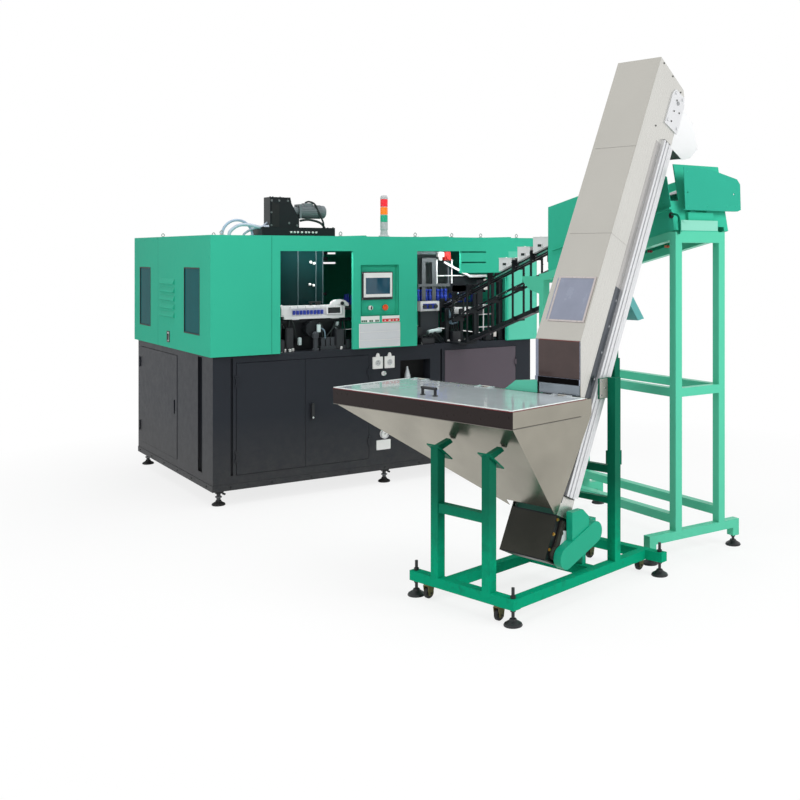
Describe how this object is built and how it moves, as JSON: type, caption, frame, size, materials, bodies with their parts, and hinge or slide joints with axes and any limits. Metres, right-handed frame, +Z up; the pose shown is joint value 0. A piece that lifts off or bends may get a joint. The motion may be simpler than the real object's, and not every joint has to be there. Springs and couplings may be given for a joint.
{
  "type": "blow moulding machine",
  "caption": "Linear stretch blow moulding machine: green guarded cabinet on a dark base, with a sloping infeed rail, a preform sorter on a stand and a leaning belt lift with a steel hopper.",
  "frame": {"origin": "centre of the cabinet's front-left levelling pad, on the floor", "axes": "+X along the cabinet front to its right end, +Y from the front to the back, +Z up"},
  "size_m": [2.789, 4.9237, 2.8723],
  "materials": {
    "base_paint": "fine textured charcoal powder coat",
    "guard_green": "satin sea-green paint",
    "stand_green": "satin deep-green paint",
    "dark_steel": "black oxide and dark paint",
    "oven_paint": "grey paint",
    "motor_grey": "grey motor enamel",
    "white_paint": "smooth white paint",
    "stainless": "brushed sheet",
    "machined_steel": "turned and ground",
    "mould_alloy": "milled mould alloy",
    "alu_profile": "natural anodised profile",
    "window_tint": "dark tinted pane",
    "lift_tint": "pale tinted pane",
    "lid_clear": "clear hard plastic sheet",
    "black_plastic": "moulded black plastic",
    "screen": "glossy display",
    "white_plastic": "white moulded plastic",
    "stop_red": "red-orange moulded plastic",
    "tower_grey": "grey plastic",
    "lens_red": "red lens",
    "lens_amber": "amber lens",
    "lens_green": "green lens",
    "lamp_quartz": "quartz heater tube",
    "mandrel_blue": "blue mandrel plastic",
    "hose_clear": "translucent air hose",
    "wheel_black": "solid black tyre",
    "belt_green": "cleated belt",
    "chute_teal": "teal sheet"
  },
  "bodies": {
    "machine": {"base_frame": "base_paint", "enclosure": "guard_green", "roof": "guard_green", "control_panel": "guard_green", "trough": "guard_green", "lift_stand": "stand_green", "sorter_stand": "stand_green", "gearmotor": "stand_green", "clamp_frame": "dark_steel", "stretch_frame": "dark_steel", "infeed_rails": "dark_steel", "caster_forks": "dark_steel", "boot": "dark_steel", "hopper_rim": "dark_steel", "oven": "oven_paint", "stretch_motor": "motor_grey", "rail_guards": "white_paint", "valve_block": "white_paint", "spout": "white_paint", "hopper_shell": "stainless", "hopper_cover": "stainless", "casing": "stainless", "side_rails": "alu_profile", "side_windows": "window_tint", "lift_windows": "lift_tint", "hmi": "black_plastic", "levelling_feet": "black_plastic", "hmi_screen": "screen", "service_plates": "white_plastic", "signal_tower": "tower_grey", "lens_red": "lens_red", "lens_amber": "lens_amber", "lens_green": "lens_green", "oven_lamps": "lamp_quartz", "mandrel_chain": "mandrel_blue", "roof_hose": "hose_clear", "belt": "belt_green", "overflow_chute": "chute_teal"},
    "door_left": {"door_left": "base_paint"},
    "door_right": {"door_right": "base_paint"},
    "door_handle": {"door_handle": "black_plastic"},
    "door_end": {"door_end": "base_paint"},
    "door_side": {"door_side": "base_paint"},
    "selector_knob": {"selector_knob": "white_plastic"},
    "stop_button": {"stop_button": "stop_red"},
    "mould_front": {"mould_front": "mould_alloy"},
    "mould_rear": {"mould_rear": "mould_alloy"},
    "stretch_carriage": {"stretch_carriage": "machined_steel"},
    "transfer_arm": {"transfer_arm": "white_paint"},
    "sprocket_drive": {"sprocket_drive": "machined_steel"},
    "sprocket_idle": {"sprocket_idle": "machined_steel"},
    "hopper_lid": {"lid": "lid_clear", "lid_handle": "black_plastic"},
    "drum_top": {"drum_top": "machined_steel"},
    "drum_bottom": {"drum_bottom": "machined_steel"},
    "roller_left": {"roller_left": "machined_steel"},
    "roller_right": {"roller_right": "machined_steel"},
    "flap": {"flap_plate": "guard_green"},
    "wheels_front": {"wheels_front": "wheel_black"},
    "wheels_rear": {"wheels_rear": "wheel_black"}
  },
  "joints": [
    {"name": "door_left_hinge", "type": "hinge", "parent": "machine", "child": "door_left", "pos_m": [0.1035, -0.0733, 0.6], "axis": [0, 0, -1], "range_deg": [0, 110]},
    {"name": "door_right_hinge", "type": "hinge", "parent": "machine", "child": "door_right", "pos_m": [1.1265, -0.0733, 0.6], "axis": [0, 0, 1], "range_deg": [0, 110]},
    {"name": "door_handle_turn", "type": "hinge", "parent": "door_right", "child": "door_handle", "pos_m": [0.665, -0.078, 0.648], "axis": [0, -1, 0], "range_deg": [0, 90]},
    {"name": "door_end_hinge", "type": "hinge", "parent": "machine", "child": "door_end", "pos_m": [2.4755, -0.0733, 0.6], "axis": [0, 0, 1], "range_deg": [0, 110]},
    {"name": "door_side_hinge", "type": "hinge", "parent": "machine", "child": "door_side", "pos_m": [-0.0713, 1.7085, 0.6], "axis": [0, 0, -1], "range_deg": [0, 110]},
    {"name": "selector_press", "type": "slide", "parent": "machine", "child": "selector_knob", "axis": [0, 1, 0], "range_m": [0, 0.006], "stiffness_N_per_m": 600},
    {"name": "stop_press", "type": "slide", "parent": "machine", "child": "stop_button", "axis": [0, 1, 0], "range_m": [0, 0.007], "stiffness_N_per_m": 600},
    {"name": "mould_front_slide", "type": "slide", "parent": "machine", "child": "mould_front", "axis": [0, 1, 0], "range_m": [0, 0.1]},
    {"name": "mould_rear_slide", "type": "slide", "parent": "machine", "child": "mould_rear", "axis": [0, -1, 0], "range_m": [0, 0.1]},
    {"name": "stretch_slide", "type": "slide", "parent": "machine", "child": "stretch_carriage", "axis": [0, 0, -1], "range_m": [0, 0.115]},
    {"name": "transfer_slide", "type": "slide", "parent": "machine", "child": "transfer_arm", "axis": [1, 0, 0], "range_m": [0, 0.15]},
    {"name": "sprocket_drive_spin", "type": "hinge", "parent": "machine", "child": "sprocket_drive", "pos_m": [1.492, 0.66, 1.3], "axis": [0, 0, 1], "continuous": true},
    {"name": "sprocket_idle_spin", "type": "hinge", "parent": "machine", "child": "sprocket_idle", "pos_m": [2.392, 0.66, 1.3], "axis": [0, 0, 1], "continuous": true},
    {"name": "lid_hinge", "type": "hinge", "parent": "machine", "child": "hopper_lid", "pos_m": [0.73866, -2.28325, 1.008], "axis": [-0.2351, 0.972, 0], "range_deg": [0, 88]},
    {"name": "drum_top_spin", "type": "hinge", "parent": "machine", "child": "drum_top", "pos_m": [1.77055, -2.54803, 2.62194], "axis": [-0.2351, 0.972, 0], "continuous": true},
    {"name": "drum_bottom_spin", "type": "hinge", "parent": "machine", "child": "drum_bottom", "pos_m": [0.66435, -2.81565, 0.24651], "axis": [-0.2351, 0.972, 0], "continuous": true},
    {"name": "roller_left_spin", "type": "hinge", "parent": "machine", "child": "roller_left", "pos_m": [1.872, -2.10653, 1.97588], "axis": [0, 0.9781, -0.2079], "continuous": true},
    {"name": "roller_right_spin", "type": "hinge", "parent": "machine", "child": "roller_right", "pos_m": [1.982, -2.10653, 1.97588], "axis": [0, 0.9781, -0.2079], "continuous": true},
    {"name": "flap_hinge", "type": "hinge", "parent": "machine", "child": "flap", "pos_m": [1.932, -2.737, 1.993], "axis": [1, 0, 0], "range_deg": [0, 75]},
    {"name": "wheels_front_roll", "type": "hinge", "parent": "machine", "child": "wheels_front", "pos_m": [0.265, -2.75794, 0.032], "axis": [-0.2351, 0.972, 0], "continuous": true},
    {"name": "wheels_rear_roll", "type": "hinge", "parent": "machine", "child": "wheels_rear", "pos_m": [1.35751, -2.61709, 0.032], "axis": [-0.2351, 0.972, 0], "continuous": true}
  ],
  "couplings": [
    {"joint": "mould_rear_slide", "follows": "mould_front_slide", "ratio": 1},
    {"joint": "sprocket_idle_spin", "follows": "sprocket_drive_spin", "ratio": 1},
    {"joint": "drum_top_spin", "follows": "drum_bottom_spin", "ratio": 1},
    {"joint": "roller_left_spin", "follows": "roller_right_spin", "ratio": -1}
  ]
}
